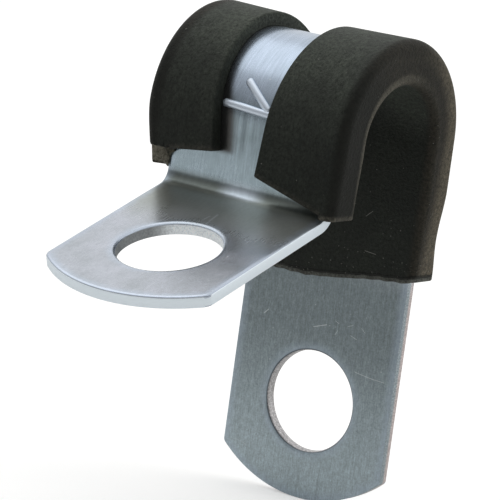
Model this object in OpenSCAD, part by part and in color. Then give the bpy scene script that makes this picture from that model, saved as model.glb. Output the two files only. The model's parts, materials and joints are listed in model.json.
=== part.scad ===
// Rubber-lined P clip: a folded steel band and the rubber liner that wraps round it.
// X runs along the cable, -Y points to the front tab, Z is up; the origin is the middle of the cable.

/* [Cable] */
// Diameter of the cable that the liner holds
cable_d = 7.94; // [5:0.02:14]

/* [Steel band] */
// Width of the band
band_w = 12.7; // [11:0.1:18]
// Thickness of the band
band_t = 0.8; // [0.5:0.05:1.2]
// Diameter of both fixing holes
hole_d = 6.75; // [4:0.05:8]
// Radius of the band's rounded ends
end_r = 9.5; // [9.2:0.1:20]

/* [Rear leg] */
// Drop from the middle of the cable to the middle of the rear hole
leg_drop = 19; // [16:0.1:40]
// Distance from the middle of the rear hole to the leg's tip
leg_tip = 6.6; // [5.5:0.1:12]

/* [Front tab] */
// Drop from the middle of the cable to the fold line
fold_drop = 4.7; // [3.5:0.1:8]
// Radius inside the fold
fold_r = 1; // [0.4:0.1:1.6]
// Angle by which the tab slopes below level
tab_slope = 19; // [0:1:35]
// Distance from the fold line to the middle of the tab's hole
tab_reach = 8.1; // [6.5:0.1:20]
// Distance from the middle of the tab's hole to the tab's tip
tab_tip = 6.9; // [5.5:0.1:12]

/* [Rubber liner] */
// Thickness of the pad between the band and the cable
pad_t = 0.95; // [0.6:0.05:2]
// Thickness of the lips that wrap over the band
lip_t = 1; // [0.7:0.05:2]
// How much thinner the lips are at their free edges
lip_taper = 0.15; // [0:0.01:0.3]
// Thickness of the side walls
wall_t = 1.45; // [0.9:0.05:3]
// How far the liner sits off the middle of the band, towards -X
liner_shift = 0.3; // [0:0.05:0.5]
// Radius of the liner's outer edges
outer_edge_r = 0.6; // [0.2:0.05:0.8]
// Radius of the liner's edges at the cable
inner_edge_r = 0.3; // [0.1:0.05:0.5]

/* [Gap between the lips] */
// Width of the gap at the top of the loop
gap_top = 5.2; // [3:0.1:7]
// Width of the gap level with the fold
gap_low = 3.2; // [1:0.1:6]
// How far the gap sits off the middle of the band, towards -X
gap_shift = 0.8; // [0:0.05:1]

/* [Ends of the liner] */
// Drop from the middle of the cable to the liner's end on the rear leg
rear_end = 9.9; // [8:0.1:11.5]
// Slope of that end across the band
rear_skew = 6; // [0:0.5:8]
// How much shorter the rear lips are than the liner's end
rear_lip_step = 1; // [0.2:0.1:3]
// How far above the fold line the liner's front end is
front_rise = 0.3; // [-0.2:0.1:1.5]
// Slope of that end across the band
front_skew = 4; // [0:0.5:6]
// How far above the fold line the front lip on the -X side ends, at the band's edge
left_lip_rise = 2; // [1.2:0.1:3]
// Slope of that lip's end, rising to its free edge
left_lip_cut = 9; // [0:1:20]
// How far above the fold line the front lip on the +X side ends, at the band's edge
right_lip_rise = 0.2; // [0.1:0.1:2]
// Slope of that lip's end, rising to its free edge
right_lip_cut = 15; // [0:1:20]

/* [Hidden] */
$fn = 96;
past = 1; // how far a cutter reaches past the solid
half_w = band_w / 2;
bore_r = cable_d / 2;
band_ir = bore_r + pad_t;
band_or = band_ir + band_t;
band_mid_r = band_ir + band_t / 2;
liner_or = band_or + lip_t;
liner_left = -half_w - wall_t - liner_shift;
liner_right = half_w + wall_t - liner_shift;
leg_len = leg_drop + leg_tip;
fold_angle = 90 - tab_slope;
fold_run = fold_r * tan(fold_angle / 2); // from the fold line to where the fold starts and ends
fold_start = fold_drop - fold_run;
fold_or = fold_r + band_t;
tab_len = tab_reach + tab_tip - fold_run;
lowest = rear_end + band_w; // deeper than any end of the liner

// Turns a side view, drawn in Y and Z, so that it is extruded along X
module side_view() {
    rotate([90, 0, 90])
        children();
}

// Side view of an arch of radius r whose sides run straight down
module arch_2d(r, drop) {
    circle(r = r);
    translate([-r, -drop])
        square([2 * r, drop]);
}

// Side view of the loop and the rear leg; at the front it ends level with the middle of the cable
module loop_2d() {
    difference() {
        arch_2d(band_or, leg_len);
        arch_2d(band_ir, leg_len + past);
        translate([-band_or - past, -leg_len - past])
            square([band_or + past, leg_len + past]);
    }
}

// Side view of the front leg, the fold and the tab, round the middle of the fold
module front_2d() {
    quadrant = fold_or + past;
    translate([fold_r, 0])
        square([band_t, fold_start]);
    intersection() {
        difference() {
            circle(r = fold_or);
            circle(r = fold_r);
        }
        translate([0, -quadrant])
            square(quadrant);
        rotate(-fold_angle)
            square(quadrant);
    }
    rotate(-fold_angle)
        translate([fold_r, -tab_len])
            square([band_t, tab_len]);
}

// The strip bent to shape, before its ends are rounded and its holes punched
module bent_strip() {
    translate([-half_w, 0, 0])
        side_view()
            linear_extrude(band_w) {
                loop_2d();
                translate([-band_or - fold_r, -fold_start])
                    front_2d();
            }
}

// Places its children in the tab's own frame: round the middle of the fold, with the tab along -Z
module at_tab() {
    translate([0, -band_or - fold_r, -fold_start])
        rotate([-fold_angle, 0, 0])
            children();
}

// Rounds the end of a strip that starts at depth y and has its tip at z = -tip
module end_cutter(y, tip) {
    translate([0, y - past, -tip])
        difference() {
            translate([-band_w, 0, -past])
                cube([2 * band_w, band_t + 2 * past, end_r + past]);
            translate([0, -past, end_r])
                rotate([-90, 0, 0])
                    cylinder(r = end_r, h = band_t + 4 * past);
        }
}

// Makes a fixing hole at z = -drop through a strip that starts at depth y
module hole_cutter(y, drop) {
    translate([0, y - past, -drop])
        rotate([-90, 0, 0])
            cylinder(d = hole_d, h = band_t + 2 * past);
}

module steel_band() {
    color([0.72, 0.74, 0.78])
        difference() {
            bent_strip();
            hole_cutter(band_ir, leg_drop);
            end_cutter(band_ir, leg_len);
            at_tab() {
                hole_cutter(fold_r, tab_reach - fold_run);
                end_cutter(fold_r, tab_len);
            }
        }
}

// Cross-section of the liner: X is the distance from the middle of the cable, Y runs across the band
module liner_section() {
    outer_x = liner_or - outer_edge_r;
    inner_x = bore_r + inner_edge_r;
    outer_y = [liner_left + outer_edge_r, liner_right - outer_edge_r];
    inner_y = [liner_left + inner_edge_r, liner_right - inner_edge_r];
    difference() {
        union() {
            translate([inner_x, liner_left])
                square([outer_x - inner_x, liner_right - liner_left]);
            translate([bore_r, inner_y[0]])
                square([pad_t, inner_y[1] - inner_y[0]]);
            polygon([
                [band_mid_r, outer_y[0]],
                [liner_or, outer_y[0]],
                [liner_or - lip_taper, -gap_shift - gap_low / 2],
                [liner_or - lip_taper, -gap_shift + gap_low / 2],
                [liner_or, outer_y[1]],
                [band_mid_r, outer_y[1]]
            ]);
            for (y = outer_y)
                translate([outer_x, y])
                    circle(r = outer_edge_r);
            for (y = inner_y)
                translate([inner_x, y])
                    circle(r = inner_edge_r);
        }
        translate([band_ir, -half_w])
            square([band_t, band_w]);
    }
}

// Straight run of the liner down the rear leg
module liner_run(length) {
    rotate([180, 0, 90])
        linear_extrude(length)
            liner_section();
}

// Removes an outline drawn in X and Z from the front of the liner, from the given depth outwards
module cut_front(depth) {
    translate([0, -depth, 0])
        rotate([90, 0, 0])
            linear_extrude(liner_or + past - depth)
                children();
}

module cut_rear(depth) {
    mirror([0, 1, 0])
        cut_front(depth)
            children();
}

// Gap between the lips, narrowing downwards; the band's own depth bounds it inside
module lip_gap() {
    top = liner_or + past;
    narrowing = (gap_top - gap_low) / 2 / (band_or + fold_drop); // of each side, for each mm of drop
    half_top = gap_top / 2 + narrowing * (top - band_or);
    half_low = max(gap_low / 2 - narrowing * (lowest - fold_drop), gap_low / 4);
    difference() {
        translate([-gap_shift, top, 0])
            rotate([90, 0, 0])
                linear_extrude(2 * top)
                    polygon([
                        [-half_low, -lowest],
                        [half_low, -lowest],
                        [half_top, top],
                        [-half_top, top]
                    ]);
        translate([-band_w, 0, 0])
            side_view()
                linear_extrude(2 * band_w)
                    arch_2d(band_mid_r, lowest + past);
    }
}

// Outline of all that lies below a slanting end: its drop in the middle, and its slope, up towards +X
module below_2d(drop, slope) {
    polygon([
        [-band_w, -drop - band_w * tan(slope)],
        [band_w, -drop + band_w * tan(slope)],
        [band_w, -lowest - past],
        [-band_w, -lowest - past]
    ]);
}

// Keeps what lies over the band, between its two edges
module over_band_2d() {
    intersection() {
        translate([-half_w, -lowest - past])
            square([band_w, lowest + past]);
        children();
    }
}

// Ends of the pad and the side walls
module liner_ends() {
    cut_rear(0)
        below_2d(rear_end, rear_skew);
    cut_front(0)
        below_2d(fold_drop - front_rise, -front_skew);
}

// Ends of the lips, which stop short of the side walls
module lip_ends() {
    left_end = -fold_drop + left_lip_rise;
    right_end = -fold_drop + right_lip_rise;
    cut_rear(band_mid_r)
        over_band_2d()
            below_2d(rear_end - rear_lip_step, rear_skew);
    cut_front(band_mid_r)
        polygon([
            [-half_w, left_end],
            [-gap_shift, left_end + (half_w - gap_shift) * tan(left_lip_cut)],
            [-gap_shift, right_end + (half_w + gap_shift) * tan(right_lip_cut)],
            [half_w, right_end],
            [half_w, -lowest],
            [-half_w, -lowest]
        ]);
}

module rubber_liner() {
    color([0.14, 0.14, 0.13])
        difference() {
            union() {
                side_view()
                    rotate_extrude(angle = 180)
                        liner_section();
                liner_run(rear_end + 3 * past);
                mirror([0, 1, 0])
                    liner_run(fold_drop + 2 * past);
            }
            lip_gap();
            liner_ends();
            lip_ends();
            bent_strip();
        }
}

steel_band();
rubber_liner();
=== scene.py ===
import json
import math
from types import SimpleNamespace
import bmesh
import bpy
import numpy as np
from mathutils import Matrix, Vector


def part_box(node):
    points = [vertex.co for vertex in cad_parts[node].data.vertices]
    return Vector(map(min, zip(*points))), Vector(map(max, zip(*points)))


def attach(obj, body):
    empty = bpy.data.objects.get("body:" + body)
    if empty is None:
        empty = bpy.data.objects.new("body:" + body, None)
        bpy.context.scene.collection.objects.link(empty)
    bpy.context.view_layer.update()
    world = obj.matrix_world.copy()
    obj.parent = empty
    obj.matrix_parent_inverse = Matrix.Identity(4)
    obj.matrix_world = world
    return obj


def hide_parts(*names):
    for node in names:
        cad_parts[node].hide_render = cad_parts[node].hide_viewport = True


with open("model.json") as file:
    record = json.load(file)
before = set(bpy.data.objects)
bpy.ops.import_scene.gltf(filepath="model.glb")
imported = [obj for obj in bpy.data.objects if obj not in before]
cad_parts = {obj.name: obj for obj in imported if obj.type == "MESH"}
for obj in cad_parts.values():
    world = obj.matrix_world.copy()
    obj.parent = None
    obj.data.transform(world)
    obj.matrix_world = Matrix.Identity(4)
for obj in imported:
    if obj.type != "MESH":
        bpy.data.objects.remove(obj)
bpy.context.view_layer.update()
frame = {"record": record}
scene = bpy.context.scene
mm = 0.001
mounts = {mount["name"]: mount for mount in frame["record"]["mounts"]}


def readClip():  # sizes in millimetres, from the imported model
    bandLow, bandHigh = [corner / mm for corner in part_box("steel_band")]
    linerLow, linerHigh = [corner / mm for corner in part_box("rubber_liner")]
    normal = Vector(mounts["tab_hole"]["axis"])
    slope = math.atan2(-normal.y, normal.z)
    thick = mounts["rear_hole"]["dims"]["length_mm"]
    tabHole = Vector(mounts["tab_hole"]["pos_m"]) / mm + normal * thick / 2  # on the tab's top
    outer = bandHigh.y
    foldDrop = -tabHole.z - (-outer - tabHole.y) * math.tan(slope)
    return {
        "bore": mounts["cable_bore"]["dims"]["r_mm"],
        "inner": outer - thick,
        "outer": outer,
        "thick": thick,
        "halfBand": bandHigh.x,
        "holeRadius": mounts["rear_hole"]["dims"]["r_mm"],
        "legHole": -mounts["rear_hole"]["pos_m"][2] / mm,
        "legTip": -bandLow.z,
        "slope": slope,
        "foldDrop": foldDrop,
        "tabReach": (-outer - tabHole.y) / math.cos(slope),
        "tabTip": (-outer - bandLow.y) / math.cos(slope),
        "linerOuter": linerHigh.y,
        "linerLeft": linerLow.x,
        "linerRight": linerHigh.x,
        "linerRear": -linerLow.z,
    }


clip = readClip()
endRadius = 9.5  # of both ends of the steel strip
lipGap = {"top": (-3.45, 1.8), "fold": (-2.1, 0.8)}  # the lips' edges at the loop's top and level with the fold
bend = {"foldRadius": 1.0}  # inside radius of the fold between the front leg and the tab
bend["mid"] = (clip["inner"] + clip["outer"]) / 2
bend["quarter"] = bend["mid"] * math.pi / 2  # strip length from the loop's top to either leg
bend["foldAngle"] = math.pi / 2 - clip["slope"]
bend["foldRun"] = bend["foldRadius"] * math.tan(bend["foldAngle"] / 2)
bend["foldStart"] = clip["foldDrop"] - bend["foldRun"]
bend["foldLength"] = (bend["foldRadius"] + clip["thick"] / 2) * bend["foldAngle"]


def downRear(drop):  # place along the flat strip of a height on the rear leg
    return bend["quarter"] + drop


def downFront(drop):
    return -bend["quarter"] - drop


def alongTab(reach):  # the same for a distance from the fold line along the tab
    return downFront(bend["foldStart"]) - bend["foldLength"] - (reach - bend["foldRun"])


foldMiddle = downFront(bend["foldStart"]) - bend["foldLength"] / 2


def setSocket(tree, socket, value):
    if isinstance(value, bpy.types.NodeSocket):
        tree.links.new(value, socket)
    elif value is not None:
        socket.default_value = value


def addNode(tree, kind, inputs=None, **settings):
    node = tree.nodes.new(kind)
    for name, value in settings.items():
        setattr(node, name, value)
    for key, value in (inputs or {}).items():
        setSocket(tree, node.inputs[key], value)
    return node


def treeOf(values):  # the node tree that a socket among the values belongs to
    return next(value.id_data for value in values if isinstance(value, bpy.types.NodeSocket))


def calc(operation, *values, **settings):
    sockets = dict(enumerate(values))
    return addNode(treeOf(values), "ShaderNodeMath", sockets, operation=operation, **settings).outputs[0]


def inTurn(operation, values):  # the operation on the first two values, then on the result and the next
    result = values[0]
    for value in values[1:]:
        result = calc(operation, result, value)
    return result


def plus(*values):
    return inTurn("ADD", values)


def minus(*values):
    return inTurn("SUBTRACT", values)


def times(*values):
    return inTurn("MULTIPLY", values)


def larger(*values):
    return inTurn("MAXIMUM", values)


def smaller(*values):
    return inTurn("MINIMUM", values)


def timesPlus(value, factor, added):
    return calc("MULTIPLY_ADD", value, factor, added)


def unsigned(value):
    return calc("ABSOLUTE", value)


def split(vector):
    return addNode(vector.id_data, "ShaderNodeSeparateXYZ", {0: vector}).outputs


def join(x, y, z=0.0):
    return addNode(x.id_data, "ShaderNodeCombineXYZ", {0: x, 1: y, 2: z}).outputs[0]


def buildBendTree():  # bends a flat strip round the loop and down into the tab
    tree = bpy.data.node_groups.new("bendRoundLoop", "GeometryNodeTree")
    face = tree.interface
    face.new_socket("Geometry", in_out="INPUT", socket_type="NodeSocketGeometry")
    for name in ("Quarter Length", "Mid Radius", "Outer Radius", "Thickness",
                 "Fold Start", "Fold Radius", "Fold Angle"):
        face.new_socket(name, in_out="INPUT", socket_type="NodeSocketFloat")
    face.new_socket("Material", in_out="INPUT", socket_type="NodeSocketMaterial")
    face.new_socket("Geometry", in_out="OUTPUT", socket_type="NodeSocketGeometry")
    given = addNode(tree, "NodeGroupInput").outputs
    flat = addNode(tree, "GeometryNodeInputPosition").outputs[0]
    across, along, radius = split(flat)
    stored = {"Geometry": given["Geometry"], "Name": "flatPlace", "Value": flat}
    kept = addNode(tree, "GeometryNodeStoreNamedAttribute", stored, data_type="FLOAT_VECTOR", domain="POINT")

    quarter = given["Quarter Length"]
    onArch = larger(smaller(along, quarter), times(quarter, -1.0))
    angle = calc("DIVIDE", onArch, given["Mid Radius"])
    past = minus(along, onArch)
    sine, cosine = calc("SINE", angle), calc("COSINE", angle)
    archY = plus(times(radius, sine), times(past, cosine))
    archZ = minus(times(radius, cosine), times(past, sine))

    foldMid = timesPlus(given["Thickness"], 0.5, given["Fold Radius"])
    excess = larger(minus(times(past, -1.0), given["Fold Start"]), 0.0)
    turn = smaller(calc("DIVIDE", excess, foldMid), given["Fold Angle"])
    run = minus(excess, times(turn, foldMid))
    reach = minus(plus(given["Fold Radius"], given["Outer Radius"]), radius)
    foldSine, foldCosine = calc("SINE", turn), calc("COSINE", turn)
    foldY = minus(times(reach, foldCosine), times(run, foldSine))
    foldY = minus(foldY, plus(given["Outer Radius"], given["Fold Radius"]))
    foldZ = plus(times(reach, foldSine), times(run, foldCosine))
    foldZ = times(plus(foldZ, given["Fold Start"]), -1.0)

    bent = calc("GREATER_THAN", excess, 0.0)
    places = {0: bent, 4: join(across, archY, archZ), 5: join(across, foldY, foldZ)}
    place = addNode(tree, "ShaderNodeMix", data_type="VECTOR")
    for key, value in places.items():
        setSocket(tree, place.inputs[key], value)
    moved = addNode(tree, "GeometryNodeSetPosition", {0: kept.outputs[0], "Position": place.outputs[1]})
    whole = addNode(tree, "GeometryNodeRealizeInstances", {0: moved.outputs[0]})
    finished = addNode(tree, "GeometryNodeSetMaterial", {0: whole.outputs[0], "Material": given["Material"]})
    addNode(tree, "NodeGroupOutput", {0: finished.outputs[0]})
    return tree


bendTree = buildBendTree()


def bendPiece(name, flatMesh, material, smoothAngle, folded=True):
    holder = bpy.data.objects.new(name + "Flat", flatMesh)
    scene.collection.objects.link(holder)
    wrap = holder.modifiers.new("bend", "NODES")
    wrap.node_group = bendTree
    beyond = 1000  # a fold so far down that nothing reaches it
    sizes = {
        "Quarter Length": bend["quarter"] * mm, "Mid Radius": bend["mid"] * mm,
        "Fold Start": (bend["foldStart"] if folded else beyond) * mm, "Fold Radius": bend["foldRadius"] * mm,
        "Fold Angle": bend["foldAngle"], "Outer Radius": clip["outer"] * mm, "Thickness": clip["thick"] * mm,
        "Material": material,
    }
    for item in bendTree.interface.items_tree:
        if item.in_out == "INPUT" and item.name in sizes:
            wrap[item.identifier] = sizes[item.name]
    depsgraph = bpy.context.evaluated_depsgraph_get()
    mesh = bpy.data.meshes.new_from_object(holder.evaluated_get(depsgraph), preserve_all_data_layers=True,
                                           depsgraph=depsgraph)
    bpy.data.objects.remove(holder)
    mesh.name = name
    mesh.shade_smooth()
    mesh.set_sharp_from_angle(angle=math.radians(smoothAngle))
    piece = bpy.data.objects.new(name, mesh)
    scene.collection.objects.link(piece)
    return piece


# shader groups shared by the two materials; places and sizes are in millimetres

def startGroup(name, inputs, outputs):
    tree = bpy.data.node_groups.new(name, "ShaderNodeTree")
    for label, value in inputs.items():
        kind = "NodeSocketVector" if value is None else "NodeSocketFloat"
        socket = tree.interface.new_socket(label, in_out="INPUT", socket_type=kind)
        if value is not None:
            socket.default_value = value
    for label in outputs:
        tree.interface.new_socket(label, in_out="OUTPUT", socket_type="NodeSocketFloat")
    return tree, addNode(tree, "NodeGroupInput").outputs, addNode(tree, "NodeGroupOutput")


def ramp(value, low, high, start=0.0, end=1.0, kind="SMOOTHSTEP"):
    sockets = {"Value": value, "From Min": low, "From Max": high, "To Min": start, "To Max": end}
    return addNode(value.id_data, "ShaderNodeMapRange", sockets, interpolation_type=kind).outputs[0]


def scaled(vector, factor):
    sockets = {0: vector, "Scale": factor}
    return addNode(vector.id_data, "ShaderNodeVectorMath", sockets, operation="SCALE").outputs[0]


def makeGrainGroup():  # noise with its own scale along and across the strip
    inputs = {"Place": None, "Across": 8.0, "Along": 8.0, "Seed": 0.0}
    tree, given, result = startGroup("fineGrain", inputs, ["Value"])
    across, along, depth = split(given["Place"])
    stretched = join(times(across, given["Across"]), times(along, given["Along"]),
                     timesPlus(depth, given["Across"], given["Seed"]))
    settings = {"Vector": stretched, "Scale": 1.0, "Detail": 3.0, "Roughness": 0.6}
    noise = addNode(tree, "ShaderNodeTexNoise", settings)
    setSocket(tree, result.inputs["Value"], ramp(noise.outputs["Fac"], 0.3, 0.7, kind="LINEAR"))
    return tree


def makeMarksGroup():  # loose short lines: fine scratches, lint or, when as wide as long, specks of dust
    inputs = {"Place": None, "Spacing": 2.0, "Length": 0.8, "Width": 0.03, "Share": 0.3, "Curve": 0.3}
    inputs["Seed"] = 0.0
    tree, given, result = startGroup("looseMarks", inputs, ["Mask"])
    across, along, depth = split(given["Place"])
    side = times(depth, 0.9)  # keeps the inner and outer faces apart
    cellsAcross = plus(calc("DIVIDE", plus(across, side), given["Spacing"]), given["Seed"])
    cells = join(cellsAcross, calc("DIVIDE", along, given["Spacing"]))
    found = addNode(tree, "ShaderNodeTexVoronoi", {"Vector": cells, "Scale": 1.0, "Randomness": 0.85},
                    voronoi_dimensions="2D", feature="F1")
    red, green, blue = addNode(tree, "ShaderNodeSeparateColor", {0: found.outputs["Color"]}).outputs
    ends = {0: cells, 1: found.outputs["Position"]}
    local = addNode(tree, "ShaderNodeVectorMath", ends, operation="SUBTRACT").outputs[0]
    local = scaled(local, given["Spacing"])
    turn = {"Vector": local, "Angle": times(red, 6.283)}  # a whole turn
    turned = addNode(tree, "ShaderNodeVectorRotate", turn, rotation_type="Z_AXIS").outputs[0]
    runs, off, flat = split(turned)
    bow = times(times(runs, runs), times(given["Curve"], minus(green, 0.5)))
    half = times(given["Length"], timesPlus(blue, 0.35, 0.15))
    away = unsigned(plus(off, bow))
    thin = times(given["Width"], 0.5)
    inWidth = ramp(away, thin, times(thin, 0.4), kind="LINEAR")
    inLength = ramp(unsigned(runs), half, times(half, 0.7), kind="LINEAR")
    kept = times(calc("LESS_THAN", green, given["Share"]), timesPlus(red, 0.7, 0.3))
    setSocket(tree, result.inputs["Mask"], times(inWidth, inLength, kept))
    return tree


def makeEdgeGroup():  # rubbed edges: 1 at the edge, fading unevenly over the width
    inputs = {"Place": None, "Distance": 0.0, "Width": 0.5, "Breakup": 0.5}
    tree, given, result = startGroup("rubbedEdge", inputs, ["Mask"])
    noise = addNode(tree, "ShaderNodeTexNoise", {"Vector": given["Place"], "Scale": 1.7, "Detail": 3.0})
    uneven = times(minus(noise.outputs["Fac"], 0.5), given["Breakup"])
    moved = timesPlus(uneven, given["Width"], given["Distance"])
    setSocket(tree, result.inputs["Mask"], ramp(moved, 0.0, given["Width"], 1.0, 0.0))
    return tree


def makeStrokeGroup():  # one straight stroke from Start to End on the flat strip
    inputs = {"Place": None, "Start": None, "End": None, "Width": 0.08}
    tree, given, result = startGroup("placedStroke", inputs, ["Mask"])

    def vectors(operation, *values):
        return addNode(tree, "ShaderNodeVectorMath", dict(enumerate(values)), operation=operation)

    flat = vectors("MULTIPLY", given["Place"], (1, 1, 0)).outputs[0]
    run = vectors("SUBTRACT", given["End"], given["Start"]).outputs[0]
    off = vectors("SUBTRACT", flat, given["Start"]).outputs[0]
    reached, whole = (vectors("DOT_PRODUCT", way, run).outputs["Value"] for way in (off, run))
    share = calc("DIVIDE", reached, whole, use_clamp=True)
    nearest = scaled(run, share)
    distance = vectors("DISTANCE", off, nearest).outputs["Value"]
    half = times(given["Width"], 0.5)
    setSocket(tree, result.inputs["Mask"], ramp(distance, half, times(half, 0.3)))
    return tree


grainGroup, marksGroup = makeGrainGroup(), makeMarksGroup()
edgeGroup, strokeGroup = makeEdgeGroup(), makeStrokeGroup()


def useGroup(group, **inputs):
    return addNode(treeOf(inputs.values()), "ShaderNodeGroup", inputs, node_tree=group).outputs[0]


def makeGrains(place, settings):
    grain = SimpleNamespace()
    for name, (across, along, seed) in settings.items():
        setattr(grain, name, useGroup(grainGroup, Place=place, Across=across, Along=along, Seed=seed))
    return grain


def vary(noise, share, base):  # lighter and darker than the base by a share of the noise
    return timesPlus(minus(noise, 0.5), share, base)


def strokes(place, marks, toStrip):  # marks that lie at a drop on a leg or at a reach on the tab
    found = 0.0
    for *ends, width in marks:
        start, end = ((across, toStrip(distance), 0) for across, distance in ends)
        found = larger(useGroup(strokeGroup, Place=place, Start=start, End=end, Width=width), found)
    return found


def blend(share, first, second):  # colours; share 0 gives the first
    tree = share.id_data
    node = addNode(tree, "ShaderNodeMix", data_type="RGBA")
    setSocket(tree, node.inputs[0], share)
    setSocket(tree, node.inputs[6], first)
    setSocket(tree, node.inputs[7], second)
    return node.outputs[2]


def startMaterial(name):  # its patterns follow the flat strip, whose places are kept on the mesh
    material = bpy.data.materials.new(name)
    material.use_nodes = True
    tree = material.node_tree
    tree.nodes.clear()
    shader = addNode(tree, "ShaderNodeBsdfPrincipled")
    addNode(tree, "ShaderNodeOutputMaterial", {"Surface": shader.outputs[0]})
    stored = addNode(tree, "ShaderNodeAttribute", attribute_name="flatPlace").outputs["Vector"]
    return material, tree, shader, scaled(stored, 1 / mm)


def addBump(tree, shader, depth, height):
    bump = addNode(tree, "ShaderNodeBump", {"Strength": 1.0, "Distance": depth, "Height": height})
    setSocket(tree, shader.inputs["Normal"], bump.outputs[0])


zincLook = {
    "light": (0.50, 0.53, 0.585, 1), "dark": (0.40, 0.435, 0.465, 1),
    "legTone": (0.205, 0.25, 0.262, 1), "legTip": (0.50, 0.60, 0.64, 1),  # the rear leg is painted darker, most just below the rubber and lighter towards its tip: painted shade
    "plainTint": (1.06, 1.05, 1.06, 1), "loopTint": (0.93, 1.02, 1.12, 1), "frontTint": (0.88, 1.01, 1.03, 1),
    # raised: the mark's ribs are painted lighter, a painted highlight
    "worn": (0.56, 0.66, 0.80, 1), "scratch": (0.70, 0.74, 0.77, 1), "raised": (0.72, 0.80, 0.90, 1),
    # the fold's colours are painted light: painted shade and a painted highlight spot
    "foldDark": (0.13, 0.14, 0.115, 1), "foldBright": (0.62, 0.70, 0.78, 1),
    # painted reflection of the dark rubber on the tab near the fold
    "tabDull": (0.36, 0.385, 0.345, 1),
    "grime": (0.08, 0.075, 0.07, 1),  # painted shadow and reflection of the left lip, along its free edge
    # sheared is painted near white and bluish: plated cut steel, partly a painted highlight on the tab's end
    "sheared": (0.86, 0.94, 1.0, 1), "legSide": (0.36, 0.42, 0.45, 1), "burr": (0.62, 0.55, 0.535, 1),
    "punched": (0.48, 0.468, 0.470, 1), "tabPunched": (0.92, 0.97, 1.0, 1),
    "polish": 0.12, "legPolish": 0.38, "foldRoughness": 0.14, "tabRoughness": 0.16, "loopRoughness": 0.09,
    "cutRoughness": 0.42, "haze": 0.13,
    "grainDepth": 0.0000035,
    "grain": {  # spots per millimetre across and along the strip, and seed
        "rolled": (7.0, 0.35, 0.0), "fine": (16.0, 1.6, 7.0), "cloudy": (0.45, 0.3, 3.0),
        "speckled": (9.0, 9.0, 11.0), "mottled": (5.0, 3.6, 15.0), "streaks": (1.6, 0.1, 21.0),
    },
    "scratches": {"Spacing": 3.1, "Length": 1.4, "Width": 0.04, "Share": 0.13, "Curve": 0.6},
    "nicks": {"Spacing": 1.1, "Length": 0.15, "Width": 0.08, "Share": 0.12, "Curve": 0.0, "Seed": 5.0},
    "legScratches": [  # start and end, each across and down the leg, and width
        ((-4.5, 14.0), (-4.2, 13.7), 0.09), ((-0.45, 14.05), (0.55, 13.7), 0.09), ((1.2, 13.3), (1.5, 13.42), 0.05),
        ((1.3, 14.2), (1.45, 13.9), 0.05), ((2.2, 13.45), (2.6, 13.3), 0.05), ((2.5, 14.0), (3.0, 14.15), 0.05),
        ((3.3, 13.35), (3.6, 13.6), 0.045), ((3.25, 16.3), (4.5, 16.45), 0.06), ((4.5, 16.45), (5.6, 16.5), 0.06),
    ],
    "tabScratches": [((-0.52, 4.3), (-0.4, 3.3), 0.17), ((0.05, 4.35), (-0.08, 2.9), 0.2)],  # the same along the tab
}
zincAreas = {  # where each area begins and where it is full, along the flat strip unless noted
    "leg": (downRear(7.0), downRear(11.0)), "legTip": (downRear(13.0), downRear(25.0)),
    "loop": (downRear(4.6), downRear(3.6)),  # either way from the top
    "front": (downFront(-2.5), downFront(0.5)), "brushed": (downFront(-2.5), downFront(0.0)),
    "tab": (foldMiddle - 0.1, foldMiddle - 0.7),
    "tabDull": (alongTab(7.0), alongTab(2.0)), "tabOpen": (alongTab(8.5), alongTab(5.0)),
    "streaksStart": (-7.2, -7.9), "streaksStop": (-11.5, -9.0),
    "fold": (1.3, 0.35), "foldSpot": (2.2, 0.3),  # from the fold's middle along and across the strip
    "openSide": (-2.5, 1.0), "holeShade": (-1.6, -3.0),  # across the strip
    "hole": (0.3, 0.05), "holeRing": (0.16, 0.06),  # outward from a hole's edge
    "grime": (1.5, 0.8), "grimeNarrow": (6.5, 1.5),  # from the lip's edge, and over the height
    "grimeStop": (clip["outer"] + 2.35, clip["outer"] + 1.9),
    "facing": (clip["inner"] + 0.1, clip["outer"] - 0.1),  # through the thickness: 1 on the outer face
    "burr": (clip["outer"] - 0.5, clip["outer"] - 0.3),
    "raised": (clip["outer"] + 0.04, clip["outer"] + 0.12),
}


def fromMiddle(across, run):  # length of a way across and along the strip
    return calc("POWER", plus(times(across, across), times(run, run)), 0.5)


def outsideHole(across, along, middle):  # distance outside a punched hole
    return minus(fromMiddle(across, minus(along, middle)), clip["holeRadius"])


def insideEnd(across, along, tip, way):  # distance inside a rounded end
    run = larger(times(minus(along, tip - way * endRadius), way), 0.0)
    return minus(endRadius, fromMiddle(across, run))


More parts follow.
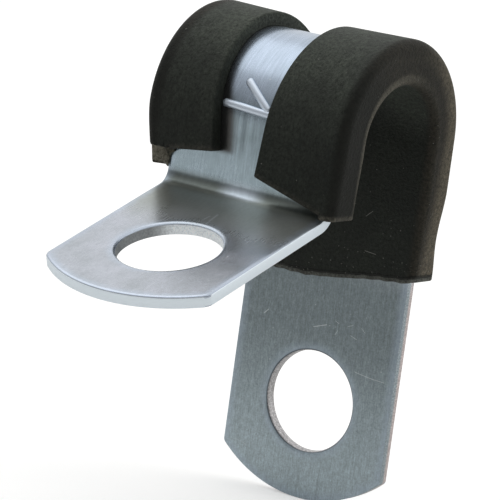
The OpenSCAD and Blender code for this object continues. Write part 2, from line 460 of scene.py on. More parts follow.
def findOnBand(place):  # distances and masks on the flat strip
    at = SimpleNamespace()
    across, along, depth = split(place)
    at.across, at.depth = across, depth

    def area(name, value=along):
        return ramp(value, *zincAreas[name])

    middles = (downRear(clip["legHole"]), alongTab(clip["tabReach"]))
    holes = [outsideHole(across, along, middle) for middle in middles]
    at.fromHole = smaller(*holes)
    ends = [insideEnd(across, along, downRear(clip["legTip"]), 1.0),
            insideEnd(across, along, alongTab(clip["tabTip"]), -1.0)]
    at.fromEdge = smaller(minus(clip["halfBand"], unsigned(across)), at.fromHole, *ends)

    at.leg, at.tab, at.front = area("leg"), area("tab"), area("front")
    at.loop = area("loop", unsigned(along))
    at.fold = area("fold", unsigned(minus(along, foldMiddle)))
    at.dull = times(at.tab, area("tabDull"))
    at.hole = area("hole", at.fromHole)
    at.facing, at.raised = area("facing", depth), area("raised", depth)
    atSide = ramp(at.fromEdge, 0.006, 0.03, 1.0, 0.0)
    between = times(calc("GREATER_THAN", depth, clip["inner"] + 0.08),
                    calc("LESS_THAN", depth, clip["outer"] - 0.2))
    at.cut = larger(atSide, between)

    arc = larger(smaller(along, bend["quarter"]), -bend["quarter"])
    fall = minus(1.0, calc("COSINE", calc("DIVIDE", arc, bend["mid"])))
    at.drop = timesPlus(fall, clip["outer"], unsigned(minus(along, arc)))
    perDrop = (lipGap["fold"][0] - lipGap["top"][0]) / (clip["outer"] + clip["foldDrop"])
    at.besideLip = minus(across, timesPlus(at.drop, perDrop, lipGap["top"][0]))
    at.area = area
    return at


def zincFaceColour(place, at, grain, scratches):  # plating, wear and grime on the faces
    look = zincLook
    colour = blend(grain.cloudy, look["dark"], look["light"])
    tint = blend(at.loop, look["plainTint"], look["loopTint"])
    tint = blend(times(at.front, minus(1.0, at.tab)), tint, look["frontTint"])
    tinted = addNode(colour.id_data, "ShaderNodeVectorMath", {0: colour, 1: tint}, operation="MULTIPLY")
    # painted light in the fold: a painted highlight spot just right of the middle, painted shade on the rest
    highlightSpot = at.area("foldSpot", unsigned(plus(at.across, 0.3)))
    foldPaintedLight = blend(highlightSpot, look["foldDark"], look["foldBright"])
    colour = blend(times(at.fold, 0.82), tinted.outputs[0], foldPaintedLight)
    # painted reflection of the dark rubber on the tab near the fold; the same area is also rougher
    colour = blend(times(at.dull, 0.8), colour, look["tabDull"])
    # painted shade on the rear leg: darkest just below the rubber, lighter towards the tip
    legShading = blend(at.area("legTip"), look["legTone"], look["legTip"])
    colour = blend(times(at.leg, 0.9), colour, legShading)

    rolledShare = timesPlus(at.loop, 0.15, timesPlus(at.leg, 0.08, 0.06))
    fineShare = timesPlus(at.area("brushed"), times(at.loop, 0.16), 0.05)
    lines = vary(grain.rolled, rolledShare, 1.0)
    lines = vary(grain.fine, timesPlus(at.leg, 0.30, fineShare), lines)
    spots = vary(grain.speckled, timesPlus(at.leg, 0.26, 0.06), 1.0)
    spots = vary(grain.mottled, timesPlus(at.leg, 0.22, times(at.front, 0.10)), spots)
    tone = scaled(colour, times(lines, spots))
    # dark streaks on the band below the mark: a painted reflection
    reflectionBelowMark = times(at.area("streaksStart"), at.area("streaksStop"))
    tone = scaled(tone, minus(1.0, times(grain.streaks, reflectionBelowMark, 0.6)))

    rubbed = useGroup(edgeGroup, Place=place, Distance=at.fromEdge, Width=0.8, Breakup=0.7)
    tone = blend(times(rubbed, timesPlus(at.leg, -0.13, 0.45)), tone, look["worn"])
    # the raised mark's ribs are painted lighter: a painted highlight
    tone = blend(at.raised, tone, look["raised"])
    nicks = times(timesPlus(at.tab, -0.85, 1.0), useGroup(marksGroup, Place=place, **look["nicks"]))
    tone = blend(times(larger(scratches, nicks), 0.65), tone, look["scratch"])

    # painted shadow and reflection of the left lip on the band beside its free edge
    wide = timesPlus(at.area("grimeNarrow", at.drop), 0.75, timesPlus(grain.cloudy, 0.3, at.besideLip))
    lipShadowed = times(at.area("grime", wide), times(at.facing, 0.92), at.area("grimeStop", at.drop))
    tone = blend(times(lipShadowed, minus(1.0, at.raised)), tone, look["grime"])
    ring = times(at.area("holeRing", at.fromHole), times(at.leg, 0.7))
    return scaled(tone, minus(1.0, ring))


def zincCutColour(at, grain):  # the sheared sides and the walls of the holes
    look = zincLook
    legSide = blend(at.area("burr", at.depth), look["legSide"], look["burr"])
    punched = blend(at.tab, look["punched"], look["tabPunched"])
    tone = blend(at.hole, blend(at.leg, look["sheared"], legSide), punched)
    uneven = times(larger(at.hole, times(at.leg, 0.8)), timesPlus(at.tab, -0.5, 1.0))
    tone = scaled(tone, timesPlus(grain.speckled, uneven, timesPlus(uneven, -0.5, 1.0)))
    shaded = times(at.hole, at.tab, times(at.area("holeShade", at.across), 0.7))
    return scaled(tone, minus(1.0, shaded))


def makeZinc():
    look = zincLook
    material, tree, shader, place = startMaterial("zincPlate")
    at = findOnBand(place)
    grain = makeGrains(place, look["grain"])
    onTab = times(strokes(place, look["tabScratches"], alongTab), times(at.facing, 0.9))
    onLeg = times(strokes(place, look["legScratches"], downRear), minus(1.0, at.facing))
    scratches = useGroup(marksGroup, Place=place, **look["scratches"])
    scratches = larger(scratches, larger(onTab, onLeg))
    tone = zincFaceColour(place, at, grain, scratches)
    setSocket(tree, shader.inputs["Base Color"], blend(at.cut, tone, zincCutColour(at, grain)))

    rough = timesPlus(at.leg, look["legPolish"] - look["polish"], look["polish"])
    rough = timesPlus(larger(at.fold, at.raised), look["foldRoughness"], rough)
    rough = timesPlus(times(at.tab, timesPlus(at.dull, 0.6, 0.4)), look["tabRoughness"], rough)
    rough = timesPlus(at.loop, look["loopRoughness"], rough)
    rough = timesPlus(grain.fine, 0.04, rough)
    rough = timesPlus(grain.cloudy, 0.05, rough)
    rough = larger(rough, times(at.cut, look["cutRoughness"]))
    setSocket(tree, shader.inputs["Roughness"], rough)
    openTab = times(at.tab, at.area("tabOpen"), at.area("openSide", at.across))
    holeWall = times(at.hole, at.tab, times(at.cut, 0.67))
    setSocket(tree, shader.inputs["Metallic"], minus(1 - look["haze"], timesPlus(openTab, 0.08, holeWall)))

    height = times(grain.rolled, timesPlus(at.tab, -0.31, 0.35))
    height = timesPlus(grain.fine, timesPlus(at.leg, 0.6, 0.06), height)
    height = timesPlus(grain.speckled, timesPlus(at.cut, 1.5, times(at.leg, 0.4)), height)
    height = minus(height, times(scratches, timesPlus(at.tab, -1.5, 1.5)))
    addBump(tree, shader, look["grainDepth"], height)
    return material


rubberLook = {
    "light": (0.0300, 0.0345, 0.0280, 1), "dark": (0.0150, 0.0170, 0.0145, 1),
    # lowSides is painted shade at the front of the side faces; backSides is a painted tan highlight on their rear
    # rounding
    "sides": (0.0170, 0.0135, 0.0095, 1), "lowSides": (0.0040, 0.0035, 0.0028, 1),
    "backSides": (0.115, 0.098, 0.070, 1),
    # rim is a painted highlight along the bore's rounded edge
    "ends": (0.062, 0.056, 0.046, 1), "rim": (0.100, 0.092, 0.072, 1), "flash": (0.095, 0.098, 0.088, 1),
    # trimmed is painted light: on the left wall's cut-down end, and a painted highlight on the right wall's front
    # corner
    "trimmed": (0.135, 0.125, 0.098, 1), "dust": (0.24, 0.24, 0.22, 1),
    "topLight": (0.6, 1.35),  # painted light: how much lighter the rubber is painted at the top of the loop than on the legs
    "roughness": 0.57, "specular": 0.26, "specularTint": (0.94, 1.0, 0.92, 1),
    "grainDepth": 0.00003,
    "grain": {  # spots per millimetre across and along the strip, and seed
        "pebbled": (5.0, 5.0, 0.0), "powdery": (15.0, 15.0, 4.0), "cloudy": (0.4, 0.3, 9.0),
        "flow": (3.0, 0.5, 2.0),  # faint moulding flow along the strip
    },
    "specks": {"Spacing": 0.5, "Length": 0.13, "Width": 0.08, "Curve": 0.0},
    "fibres": {"Spacing": 3.3, "Length": 1.0, "Width": 0.04, "Share": 0.12, "Curve": 0.9, "Seed": 6.0},
    "lint": [((3.0, 5.8), (3.45, 5.4), 0.06), ((3.3, 8.05), (4.15, 8.12), 0.07)],  # across and down the rear leg
}
rubberAreas = {  # where each area begins and where it is full, along the flat strip unless noted
    "leg": (downRear(3.0), downRear(8.0)), "lowSides": (-1.5, -5.5), "back": (0.5, 4.5),
    "trim": (downFront(2.5), downFront(2.66)), "smudge": (downFront(4.35), downFront(4.6)),
    "nearEnd": (2.4, 0.7),  # from the nearer end
    "sideways": (6.5, 7.2), "smudgeSide": (6.3, 6.7),  # across the strip
    "backSides": (4.45, 5.5),  # through the thickness
    "rim": (0.6, 0.2), "rimInner": (-0.25, -0.05),  # from the rounded edge of the bore
}


def makeRubber():
    look = rubberLook
    material, tree, shader, place = startMaterial("blackRubber")
    across, along, depth = split(place)
    endGap = addNode(tree, "ShaderNodeAttribute", attribute_name="endGap").outputs["Fac"]
    grain = makeGrains(place, look["grain"])

    def area(name, value=along):
        return ramp(value, *rubberAreas[name])

    onLeg, onRear = area("leg"), calc("GREATER_THAN", along, 0.0)
    nearEnd = times(area("nearEnd", endGap), onLeg)
    share = timesPlus(nearEnd, 0.4, timesPlus(onLeg, 0.13, 0.05))
    specks = useGroup(marksGroup, Place=place, Share=share, **look["specks"])
    lint = times(strokes(place, look["lint"], downRear), calc("LESS_THAN", depth, clip["inner"]))
    lint = larger(useGroup(marksGroup, Place=place, **look["fibres"]), lint)
    line = unsigned(minus(timesPlus(grain.pebbled, 0.08, endGap), linerEnds["flash"]))
    parting = times(ramp(line, 0.05, 0.14, 1.0, 0.0), onRear)

    colour = blend(grain.cloudy, look["dark"], look["light"])
    # painted light: the rubber is painted lighter towards the top of the loop
    upper = ramp(unsigned(along), downRear(0.5), 2.5, kind="LINEAR")
    plain, added = look["topLight"]
    colour = scaled(colour, timesPlus(upper, added, plain))
    # the side faces: painted shade towards the front and a painted tan highlight on the rear outer rounding
    sideShading = blend(area("lowSides"), look["sides"], look["lowSides"])
    outward = timesPlus(depth, 0.85, times(along, 0.06))
    sideShading = blend(times(area("backSides", outward), area("back")), sideShading, look["backSides"])
    colour = blend(times(area("sideways", unsigned(across)), 0.9), colour, sideShading)
    # a painted highlight along the bore's rounded edge, strongest at the front
    rim = minus(minus(depth, unsigned(across)), clip["bore"] - 7.35)
    rimHighlight = times(area("rim", rim), area("rimInner", rim))
    colour = blend(times(rimHighlight, ramp(along, 3.5, -3.5, 0.12, 0.95)), colour, look["rim"])
    atEnd = useGroup(edgeGroup, Place=place, Distance=endGap, Width=0.5, Breakup=0.9)
    colour = blend(times(atEnd, 0.5), colour, look["ends"])
    # painted light on the left wall's cut-down end, and a painted highlight on the right wall's front corner
    trim = times(calc("LESS_THAN", across, -5.4), area("trim"))
    smudge = times(area("smudgeSide", across), area("smudge"))
    smudge = times(smudge, timesPlus(grain.pebbled, 0.4, 0.1))
    colour = blend(larger(trim, smudge), colour, look["trimmed"])
    strip = times(ramp(endGap, linerEnds["flash"], linerEnds["flash"] - 0.08), onRear)
    colour = blend(times(strip, timesPlus(grain.cloudy, 0.7, 0.3)), colour, look["flash"])
    shade = plus(grain.pebbled, grain.powdery)
    shade = times(shade, timesPlus(grain.flow, 0.12, 0.94))
    shade = times(shade, minus(1.0, times(parting, 0.75)))
    dusty = larger(times(specks, 0.75), times(lint, 0.8))
    setSocket(tree, shader.inputs["Base Color"], blend(dusty, scaled(colour, shade), look["dust"]))

    rough = timesPlus(grain.powdery, 0.10, look["roughness"])
    rough = timesPlus(grain.cloudy, 0.08, rough)
    setSocket(tree, shader.inputs["Roughness"], timesPlus(dusty, 0.3, rough))
    shader.inputs["Specular IOR Level"].default_value = look["specular"]
    shader.inputs["Specular Tint"].default_value = look["specularTint"]

    height = timesPlus(grain.powdery, 0.5, grain.pebbled)
    height = minus(height, times(parting, 4.0))
    height = timesPlus(dusty, 1.5, height)
    addBump(tree, shader, look["grainDepth"], height)
    return material


zinc = makeZinc()

# the steel band starts as a flat blank with rounded ends, rolled edges and two punched holes

bandShape = {
    "cornerRadius": 0.35, "tabCorner": 0.9,
    "edgeRoll": 0.13,  # rounding that the shears leave on the outer face's edges
    "tabRoll": 1.7,  # how many times rounder they are at the tab's end
    "edgeBurr": 0.04,
    "holeRoll": 0.30,  # rounding that the punch leaves on the side it enters
    "holeBurr": 0.05,
    "rollDepth": 0.6,  # how deep a rounding goes, as a share of its width
    "flatRim": 0.03,  # width of the flat strip that leads up to each rounding
    "rollSteps": 5, "burrSteps": 2, "cornerSteps": 6, "endSteps": 40, "holeSteps": 96,
    "arcSteps": 72, "foldSteps": 20, "besideBend": 0.04,
}


def rollRows(roll, burr, outerFirst):  # how far in and how deep each ring of an edge lies
    shape = bandShape
    rows = [(roll + shape["flatRim"], 0.0)]
    for step in range(shape["rollSteps"] + 1):
        angle = math.pi / 2 * step / shape["rollSteps"]
        rows.append((roll * (1 - math.sin(angle)), roll * shape["rollDepth"] * (1 - math.cos(angle))))
    for step in range(shape["burrSteps"] + 1):
        angle = math.pi / 2 * step / shape["burrSteps"]
        rows.append((burr * (1 - math.cos(angle)), clip["thick"] - burr * (1 - math.sin(angle))))
    rows.append((burr + shape["flatRim"], clip["thick"]))
    return [(inset, depth, outerFirst) for inset, depth in rows]


def blankOutline(inset, depth):  # one ring round the strip, some way in from its edge
    shape, loop = bandShape, []
    legEnd = (downRear(clip["legTip"]), 1, 1.0, shape["cornerRadius"])
    tabEnd = (alongTab(clip["tabTip"]), -1, shape["tabRoll"], shape["tabCorner"])
    for tip, way, softer, cornerRadius in (legEnd, tabEnd):
        cut = inset * softer if depth < clip["thick"] / 2 else inset
        radius = endRadius - cut
        centre = tip - way * endRadius
        corner = max(cornerRadius - cut, 0.05)
        # the small corner arc touches the side edge and lies inside the end arc
        cornerX = clip["halfBand"] - cut - corner
        cornerS = math.sqrt((radius - corner) ** 2 - cornerX ** 2)
        lean = math.atan2(cornerX, cornerS)
        side = []
        for step in range(shape["cornerSteps"] + 1):
            angle = lean + (math.pi / 2 - lean) * (1 - step / shape["cornerSteps"])
            place = centre + way * (cornerS + corner * math.cos(angle))
            side.append((cornerX + corner * math.sin(angle), place))
        sweep = [(radius * math.sin(lean * t), centre + way * radius * math.cos(lean * t))
                 for t in np.linspace(1, -1, shape["endSteps"] + 1)[1:-1]]
        end = side + sweep + [(-x, along) for x, along in reversed(side)]
        end = [(x, along, depth * softer if depth < clip["thick"] / 2 else depth) for x, along in end]
        loop += end if way > 0 else list(reversed(end))
    return loop


def punchedCircle(middle, inset, depth):
    radius = clip["holeRadius"] + inset
    return [(radius * math.cos(a), middle + radius * math.sin(a), depth)
            for a in np.linspace(0, 2 * math.pi, bandShape["holeSteps"], endpoint=False)]


def buildBlank():  # cut into short lengths wherever it will be bent
    shape = bandShape
    mesh = bmesh.new()
    faceLoops = {"outer": [], "inner": []}
    legHole, tabHole = downRear(clip["legHole"]), alongTab(clip["tabReach"])
    roll, burr = shape["holeRoll"], shape["holeBurr"]
    borders = [
        (blankOutline, rollRows(shape["edgeRoll"], shape["edgeBurr"], True)),
        (lambda *cut: punchedCircle(legHole, *cut), rollRows(roll, burr, False)),
        (lambda *cut: punchedCircle(tabHole, *cut), rollRows(roll, burr, True)),
    ]
    for outline, rows in borders:
        rings = []
        for inset, level, outerFirst in rows:
            places = [(x, along, clip["outer"] - depth if outerFirst else clip["inner"] + depth)
                      for x, along, depth in outline(inset, level)]
            rings.append([mesh.verts.new([value * mm for value in place]) for place in places])
        for ring, following in zip(rings, rings[1:]):
            for i in range(len(ring)):
                j = (i + 1) % len(ring)
                mesh.faces.new((ring[i], ring[j], following[j], following[i]))
        ends = (rings[0], rings[-1]) if rows[0][2] else (rings[-1], rings[0])
        for side, ring in zip(("outer", "inner"), ends):
            faceLoops[side] += [mesh.edges.get(pair) for pair in zip(ring, ring[1:] + ring[:1])]
    for side in faceLoops.values():
        bmesh.ops.triangle_fill(mesh, use_beauty=True, use_dissolve=False, edges=side)
    foldTop, foldEnd = downFront(bend["foldStart"]), downFront(bend["foldStart"]) - bend["foldLength"]
    stations = list(np.linspace(-bend["quarter"], bend["quarter"], shape["arcSteps"] + 1))
    stations += list(np.linspace(foldTop, foldEnd, shape["foldSteps"] + 1))
    stations += [bend["quarter"] + shape["besideBend"], -bend["quarter"] - shape["besideBend"]]
    stations += [foldTop + shape["besideBend"], foldEnd - shape["besideBend"]]
    for station in stations:
        bmesh.ops.bisect_plane(mesh, geom=mesh.verts[:] + mesh.edges[:] + mesh.faces[:], dist=1e-7,
                               plane_co=(0, station * mm, 0), plane_no=(0, 1, 0))
    bmesh.ops.recalc_face_normals(mesh, faces=mesh.faces)
    blank = bpy.data.meshes.new("bandBlank")
    mesh.to_mesh(blank)
    mesh.free()
    return blank


band = bendPiece("bandDetail", buildBlank(), zinc, 40)
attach(band, "root")
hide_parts("steel_band")
print("band:", len(band.data.vertices), "points")

# a raised mark pressed into the loop where the lips leave it bare, with no meaning of its own

markShape = {
    "height": 0.22, "halfWidth": 0.27, "sunk": 0.04, "topWidth": 0.012,
    "ribs": [((-2.5, -7.4), (0.95, -7.6)), ((-1.25, -5.9), (0.7, -7.3))],  # their ends on the flat strip
    "steps": 9,
}


def buildMark():
    shape = markShape
    mesh = bmesh.new()
    for start, end in shape["ribs"]:
        way = math.atan2(end[1] - start[1], end[0] - start[0])
        rings = []
        for step in range(shape["steps"]):
            angle = math.pi / 2 * step / (shape["steps"] - 1)
            width = shape["halfWidth"] * math.cos(angle) * 0.96 + shape["topWidth"]
            level = clip["outer"] - shape["sunk"] + (shape["height"] + shape["sunk"]) * math.sin(angle) ** 0.9
            ring = []
            for middle, turn in ((end, -math.pi / 2), (start, math.pi / 2)):
                for a in np.linspace(0, math.pi, 13):
                    x, y = width * math.cos(way + turn + a), width * math.sin(way + turn + a)
                    ring.append((middle[0] + x, middle[1] + y, level))
            rings.append([mesh.verts.new([value * mm for value in point]) for point in ring])
        for ring, following in zip(rings, rings[1:]):
            for i in range(len(ring)):
                j = (i + 1) % len(ring)
                mesh.faces.new((ring[i], ring[j], following[j], following[i]))
        mesh.faces.new(rings[0][::-1])
        top = rings[-1]
        half = len(top) // 2
        for i in range(half - 1):
            mesh.faces.new((top[i], top[i + 1], top[-2 - i], top[-1 - i]))
    longEdges = [edge for edge in mesh.edges if edge.calc_length() > 0.4 * mm]
    bmesh.ops.subdivide_edges(mesh, edges=longEdges, cuts=8, use_grid_fill=True)
    bmesh.ops.recalc_face_normals(mesh, faces=mesh.faces)
    flat = bpy.data.meshes.new("markFlat")
    mesh.to_mesh(flat)
    mesh.free()
    return flat


mark = bendPiece("raisedMark", buildMark(), zinc, 60)
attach(mark, "root")
print("mark:", len(mark.data.vertices), "points")

# the rubber liner is one moulded channel that grips the band's edges

linerShape = {
    "slack": 0.015,  # between the rubber and the band
    "slotRound": 0.06,  # in the corners of the slot that takes the band's edge
    "edgeRadius": 0.7,
    "innerRadius": 0.42,
    "lipTaper": 0.1,
    "lipRound": 0.12,
    "endRound": 0.12,
    "cornerFillet": 0.75,  # between a lip's end and the side wall
    "trimDrop": 2.55, "trimRun": 0.2, "trimStand": 0.16, "trimPush": 0.15,  # the left wall's cut-down end
    "hollow": (-6.83, 0.55, 0.26),  # middle, half width and depth of the dip in that wall's end
    "cutIn": 0.14,  # how far the cut beside the left wall starts inside the band's edge
    "endHalfWidth": 7.3,  # where the legs end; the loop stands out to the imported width
    "padSwell": 0.2,  # how much the bend thickens the pad at the top of the loop
    "swellRun": 5, "swellEnd": 8.5,  # how slowly the sides swell, and where they are narrow again
    "rearWaist": 0.28,  # how much thinner the lips are half-way down the rear leg
    "waistStart": (3.2, 3.0), "waistStop": (6.4, 2.6),  # drop and run of either side of the waist
    "least": 0.6,  # narrowest half gap between the lips
    "leftRise": (0.12, 4, 3),  # how much higher the rear end is on the left, from where, over what run
    "ragged": ((0.035, 5.1, 0.6), (0.03, 11.7, 2.0), (0.02, 23.0, 0.0)),  # waves at the rear: size, rate, start
    "rows": 200,
    "steps": {"tip": 6, "lip": 31, "shoulder": 4, "edge": 13, "wall": 9, "foot": 8, "pad": 13},
}
linerEnds = {  # drops below the middle of the cable, and slopes in degrees
    "frontLeft": 3.86, "frontRight": 4.75,
    "lipLeft": 2.62, "lipLeftCut": 7,
    "lipRight": 4.5, "lipRightCut": 14.5,
    "rearFlat": 10.6, "rearRight": 9.42, "rearBend": -1.2,  # the rear end slopes from rearBend on
    "lipStep": 1.0,
    "flash": 0.42,  # height of the thin flash below the parting line
}


def smooth(t):
    t = np.clip(t, 0, 1)
    return t * t * (3 - 2 * t)


def dropAt(along):  # height below the top of the band's outer face, for the tapering gap
    angle = np.clip(along, -bend["quarter"], bend["quarter"]) / bend["mid"]
    past = np.abs(along) - bend["quarter"]
    return clip["outer"] * (1 - np.cos(angle)) + np.maximum(past, 0)


def gapEdges(along):  # where the left and the right lip end
    share = dropAt(along) / (clip["outer"] + clip["foldDrop"])
    top, fold = lipGap["top"], lipGap["fold"]
    middle = (fold[0] + fold[1]) / 2
    left, right = (start + (end - start) * share for start, end in zip(top, fold))
    return np.minimum(left, middle - linerShape["least"]), np.maximum(right, middle + linerShape["least"])


def wallPlaces(along):  # where the left and the right side stand
    shape = linerShape
    front = smooth((along - downFront(clip["foldDrop"])) / shape["swellRun"])
    rear = smooth((downRear(shape["swellEnd"]) - along) / shape["swellRun"])
    swell = np.minimum(front, rear)
    end = shape["endHalfWidth"]
    return -(end + (-clip["linerLeft"] - 0.03 - end) * swell), end + (clip["linerRight"] - 0.02 - end) * swell


def outerRadius(along):  # thinner half-way down the rear leg
    shape = linerShape
    (start, startRun), (stop, stopRun) = shape["waistStart"], shape["waistStop"]
    waist = smooth((along - downRear(start)) / startRun) - 0.9 * smooth((along - downRear(stop)) / stopRun)
    return clip["linerOuter"] - shape["rearWaist"] * waist


def bandFace(along):  # the band's outer face, which leaves the liner where the fold starts
    into = np.clip(-bend["quarter"] - bend["foldStart"] - along, 0, 0.95 * bend["foldRadius"])
    return clip["outer"] + bend["foldRadius"] - np.sqrt(bend["foldRadius"] ** 2 - into ** 2)


def boreRadius(along):  # the pad is thickest at the top of the loop
    arch = np.cos(np.clip(along / bend["mid"], -math.pi / 2, math.pi / 2))
    return clip["bore"] - linerShape["padSwell"] * arch ** 2 + 0.01


def linerSection(along):  # places on the outer and inner skin, as across, radius, across, radius, on a lip
    shape = linerShape
    gapLeft, gapRight = gapEdges(along)
    wallLeft, wallRight = wallPlaces(along)
    slack, edge, lipRound, foot = shape["slack"], shape["edgeRadius"], shape["lipRound"], shape["innerRadius"]
    steps, slotRound, quarterTurn = shape["steps"], shape["slotRound"], math.pi / 2
    halfIn, high, low = clip["halfBand"] + slack, bandFace(along) + slack, clip["inner"] - slack
    top, bore = outerRadius(along) + (high - clip["outer"] - slack) * 0.4, boreRadius(along)
    tip = top - shape["lipTaper"]
    pairs = {1: [], -1: []}
    for side, gap, wall in ((1, gapRight, wallRight), (-1, gapLeft, wallLeft)):
        add = pairs[side].append
        shoulder = wall - side * edge
        lipStart = gap + side * lipRound
        corner = side * halfIn
        add((gap, high + (tip - lipRound - high) * 0.5, gap + side * 0.01, high, 1))
        for a in np.linspace(0, quarterTurn, steps["tip"]):
            add((gap + side * lipRound * (1 - math.cos(a)), tip - lipRound * (1 - math.sin(a)),
                 gap + side * (0.02 + lipRound * (1 - math.cos(a))), high, 1))
        for t in np.linspace(0, 1, steps["lip"])[1:]:
            t = t - 0.1 * math.sin(2 * math.pi * t)  # closer together at both ends
            x = lipStart + (corner - lipStart) * t
            r = tip + (top - tip) * np.abs((x - gap) / (shoulder - gap))
            add((x, r, x, high, 1))
        for t in np.linspace(0, 1, steps["shoulder"]):
            x = corner + side * 0.01 + (shoulder - corner - side * 0.01) * t
            r = tip + (top - tip) * np.abs((x - gap) / (shoulder - gap))
            add((x, r, corner + side * 0.001, high - slotRound * t, 0))
        for a in np.linspace(0, quarterTurn, steps["edge"])[1:]:
            add((shoulder + side * edge * math.sin(a), top - edge * (1 - math.cos(a)),
                 corner, high - slotRound - (high - low - 2 * slotRound) * 0.5 * a / quarterTurn, 0))
        footTop = bore + foot
        for t in np.linspace(0, 1, steps["wall"])[1:]:
            add((wall, top - edge + (footTop - top + edge) * t,
                 corner, (high + low) / 2 + (low + slotRound - (high + low) / 2) * t, 0))
        for a in np.linspace(0, quarterTurn, steps["foot"])[1:]:
            add((wall - side * foot * (1 - math.cos(a)), footTop - foot * math.sin(a),
                 corner - side * (0.3 * a), low + slotRound - min(slotRound, 0.2 * a), 0))
        last = corner - side * 0.3 * quarterTurn
        for t in np.linspace(0, 1, steps["pad"])[1:]:
            x = wall - side * foot
            add((x + (0 - x) * t, bore, last + (0 - last) * t, low, 0))
    chain = pairs[1] + pairs[-1][:-1][::-1]
    full = np.zeros((len(chain), 5) + np.shape(along))
    for i, values in enumerate(chain):
        for k, value in enumerate(values):
            full[i, k] = value
    return full


def frontDrop(x, onLip):  # how far down the front leg the liner reaches
    ends, fillet = linerEnds, linerShape["cornerFillet"]
    half = linerShape["endHalfWidth"]
    middle, spread, depth = linerShape["hollow"]
    wall = ends["frontLeft"] + (ends["frontRight"] - ends["frontLeft"]) * smooth((x + half) / (2 * half))
    wall = wall - depth * np.clip(1 - ((x - middle) / spread) ** 2, 0, 1)
    left = ends["lipLeft"] - (x + clip["halfBand"]) * math.tan(math.radians(ends["lipLeftCut"]))
    right = ends["lipRight"] - (clip["halfBand"] - x) * math.tan(math.radians(ends["lipRightCut"]))
    cut = -clip["halfBand"] + linerShape["cutIn"]
    near = np.clip(1 - (x - cut) / fillet, 0, 1)
    left = np.where(x < cut, wall, left + fillet * (1 - np.sqrt(1 - near ** 2)))
    lip = np.where(x < 0.5 * sum(lipGap["fold"]), left, right)
    return np.where(onLip > 0.5, np.minimum(lip, wall), wall)


def rearDrop(x, onLip):  # the same for the rear leg
    ends = linerEnds
    slope = (ends["rearFlat"] - ends["rearRight"]) / (linerShape["endHalfWidth"] - ends["rearBend"])
    rise, riseStart, riseRun = linerShape["leftRise"]
    wall = ends["rearFlat"] - slope * np.maximum(x - ends["rearBend"], 0)
    wall = wall - rise * smooth((-x - riseStart) / riseRun)
    ragged = sum(size * np.sin(rate * x + start) for size, rate, start in linerShape["ragged"])
    return np.where(onLip > 0.5, wall - ends["lipStep"], wall + ragged)


def buildLiner():  # rows of sections along the flat strip, from the front end to the rear end
    shape = linerShape
    frontLoop, rearLoop = linerSection(downFront(4.0)), linerSection(downRear(9.9))
    count = len(frontLoop)
    front = -bend["quarter"] - frontDrop(frontLoop[:, 0], frontLoop[:, 4])
    rear = bend["quarter"] + rearDrop(rearLoop[:, 0], rearLoop[:, 4])
    t = np.linspace(0, 1, shape["rows"])
    along = front[None, :] + (rear - front)[None, :] * t[:, None]
    outer, inner = np.zeros((len(t), count, 3)), np.zeros((len(t), count, 3))
    for j in range(count):
        section = linerSection(along[:, j])[j]
        trimmed = smooth((-along[:, j] - bend["quarter"] - shape["trimDrop"]) / shape["trimRun"])
        trimmed = trimmed * (section[0] < shape["cornerFillet"] + shape["cutIn"] - clip["halfBand"])
        section[1] -= np.maximum(section[1] - clip["outer"] - shape["trimStand"], 0) * trimmed
        section[0] -= shape["trimPush"] * trimmed * (section[0] < -7)
        outer[:, j] = np.stack([section[0], along[:, j], section[1]], 1)
        inner[:, j] = np.stack([section[2], along[:, j], section[3]], 1)
    rows = [np.concatenate([o, i[::-1]]) for o, i in zip(outer, inner)]

    def roundedEnd(row, way):  # the last rows, shrinking towards the end
        made = []
        x, r = row[:, 0], row[:, 2]
        dx, dr = np.roll(x, -2) - np.roll(x, 2), np.roll(r, -2) - np.roll(r, 2)
        length = np.maximum(np.hypot(dx, dr), 1e-9)
        for angle in (math.radians(a) for a in (0, 30, 60, 90)):
            inset = shape["endRound"] * (1 - math.cos(angle))
            push = shape["endRound"] * (math.sin(angle) - 1)
            x2, r2 = x - inset * dr / length * handed, r + inset * dx / length * handed
            made.append(np.stack([x2, row[:, 1] + way * push, r2], 1))
        return made

    sample = rows[len(rows) // 2]
    area = np.sum(sample[:, 0] * np.roll(sample[:, 2], -1) - np.roll(sample[:, 0], -1) * sample[:, 2])
    handed = 1 if area > 0 else -1
    rows = roundedEnd(rows[0], -1)[::-1] + rows[2:-2] + roundedEnd(rows[-1], 1)
    total = 2 * count
    faces = []
    for i in range(len(rows) - 1):
        a, b = i * total, (i + 1) * total
        faces += [(a + j, a + (j + 1) % total, b + (j + 1) % total, b + j) for j in range(total)]
    for start in (0, (len(rows) - 1) * total):
        last = start + total - 1
        faces += [(start + j, start + j + 1, last - 1 - j, last - j) for j in range(count - 1)]
    mesh = bpy.data.meshes.new("linerFlat")
    mesh.from_pydata((np.concatenate(rows) * mm).tolist(), [], faces)
    places = np.concatenate(rows)
    before = places[:, 1] - np.tile(np.concatenate([front, front[::-1]]), len(rows))
    after = np.tile(np.concatenate([rear, rear[::-1]]), len(rows)) - places[:, 1]
    nearest = np.minimum(before, after).astype(np.float32)
    mesh.attributes.new("endGap", "FLOAT", "POINT").data.foreach_set("value", nearest)
    work = bmesh.new()
    work.from_mesh(mesh)
    bmesh.ops.recalc_face_normals(work, faces=work.faces)
    work.to_mesh(mesh)
    work.free()
    return mesh


rubber = makeRubber()
liner = bendPiece("linerDetail", buildLiner(), rubber, 40, folded=False)
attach(liner, "root")
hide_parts("rubber_liner")
print("liner:", len(liner.data.vertices), "points")

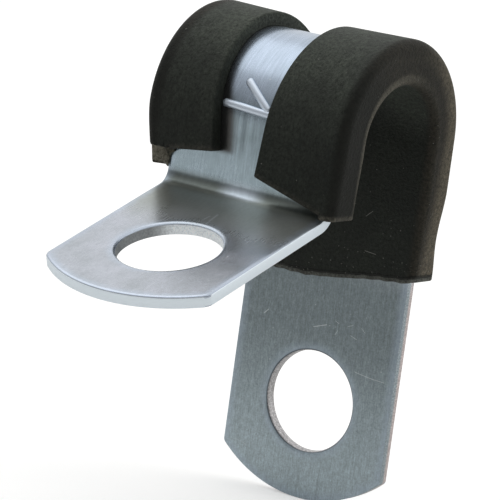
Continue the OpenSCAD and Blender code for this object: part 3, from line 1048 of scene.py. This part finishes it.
studio = {
    "floorSide": 6.0, "floor": (0.8, 0.8, 0.79, 1), "floorGlow": 0.4, "floorGap": 0.00002,
    "worldLow": 0.16, "worldHigh": 1.0, "behind": 0.74,  # the room is dimmer low down on the side of the tab
    "roomTilt": (-0.2, 0.45, 0.8),  # shares of x, y and z in how bright the room is
    "aim": (0, 0, -0.005),  # where the lamps point
    "lamps": {  # place in metres, width, power
        "topLamp": ((-0.32, -0.02, 0.50), 0.55, 0.4),
        "sideLamp": ((0.46, 0.42, 0.22), 0.45, 0.25),
    },
}


def makeFloor():
    half, level = studio["floorSide"] / 2, -clip["legTip"] * mm - studio["floorGap"]
    corners = [(-half, -half, level), (half, -half, level), (half, half, level), (-half, half, level)]
    mesh = bpy.data.meshes.new("floor")
    mesh.from_pydata(corners, [], [(0, 1, 2, 3)])
    floor = bpy.data.objects.new("floor", mesh)
    scene.collection.objects.link(floor)
    material = bpy.data.materials.new("paleFloor")
    material.use_nodes = True
    tree = material.node_tree
    tree.nodes.clear()
    paint = addNode(tree, "ShaderNodeBsdfDiffuse", {"Color": studio["floor"]})
    rays = addNode(tree, "ShaderNodeLightPath")
    seen = times(rays.outputs["Is Camera Ray"], studio["floorGlow"])
    glow = addNode(tree, "ShaderNodeEmission", {"Strength": seen})
    both = addNode(tree, "ShaderNodeAddShader", {0: paint.outputs[0], 1: glow.outputs[0]})
    addNode(tree, "ShaderNodeOutputMaterial", {"Surface": both.outputs[0]})
    mesh.materials.append(material)


def makeWorld():  # a soft room, white to the camera and partly white in reflections behind
    world = bpy.data.worlds.new("studio")
    scene.world = world
    world.use_nodes = True
    tree = world.node_tree
    tree.nodes.clear()
    rays = addNode(tree, "ShaderNodeLightPath")
    looking = addNode(tree, "ShaderNodeTexCoord").outputs["Generated"]
    side, behind, above = split(looking)
    bySide, byBack, byHeight = studio["roomTilt"]
    height = timesPlus(side, bySide, timesPlus(above, byHeight, times(behind, byBack)))
    soft = ramp(height, -0.3, 0.87, studio["worldLow"], studio["worldHigh"])
    backdrop = times(rays.outputs["Is Glossy Ray"], ramp(behind, 0.2, 0.6, 0.0, studio["behind"]))
    white = larger(rays.outputs["Is Camera Ray"], backdrop)
    strength = larger(soft, white)
    glow = addNode(tree, "ShaderNodeBackground", {"Color": (1, 1, 1, 1), "Strength": strength})
    addNode(tree, "ShaderNodeOutputWorld", {"Surface": glow.outputs[0]})


def addLamp(name, place, size, power):
    light = bpy.data.lights.new(name, "AREA")
    light.shape, light.size, light.energy = "DISK", size, power
    lamp = bpy.data.objects.new(name, light)
    scene.collection.objects.link(lamp)
    lamp.location = place
    lamp.rotation_euler = (Vector(studio["aim"]) - Vector(place)).to_track_quat("-Z", "Y").to_euler()
    lamp.visible_camera = False


makeFloor()
makeWorld()
for name, settings in studio["lamps"].items():
    addLamp(name, *settings)
print("floor and light ready")

cameraPlace = {  # degrees and millimetres
    "azimuth": 34.055, "elevation": 9.761, "roll": 7.806,
    "distance": 271.997, "right": 3.631, "up": 8.246, "lens": 303.45,
}


def makeCamera():
    azimuth, elevation, roll = (math.radians(cameraPlace[key]) for key in ("azimuth", "elevation", "roll"))
    flat = math.cos(elevation)
    back = Vector((math.sin(azimuth) * flat, -math.cos(azimuth) * flat, math.sin(elevation)))
    level = Vector((math.cos(azimuth), math.sin(azimuth), 0))
    upright = back.cross(level)
    right = level * math.cos(roll) + upright * math.sin(roll)
    up = upright * math.cos(roll) - level * math.sin(roll)
    data = bpy.data.cameras.new("camera")
    data.lens, data.sensor_width = cameraPlace["lens"], 36
    data.clip_start, data.clip_end = 0.01, 20
    camera = bpy.data.objects.new("camera", data)
    scene.collection.objects.link(camera)
    place = (back * cameraPlace["distance"] - right * cameraPlace["right"] - up * cameraPlace["up"]) * mm
    turn = Matrix((right, up, back)).transposed().to_4x4()
    camera.matrix_world = Matrix.Translation(place) @ turn
    scene.camera = camera


makeCamera()
scene.view_settings.view_transform = "Standard"
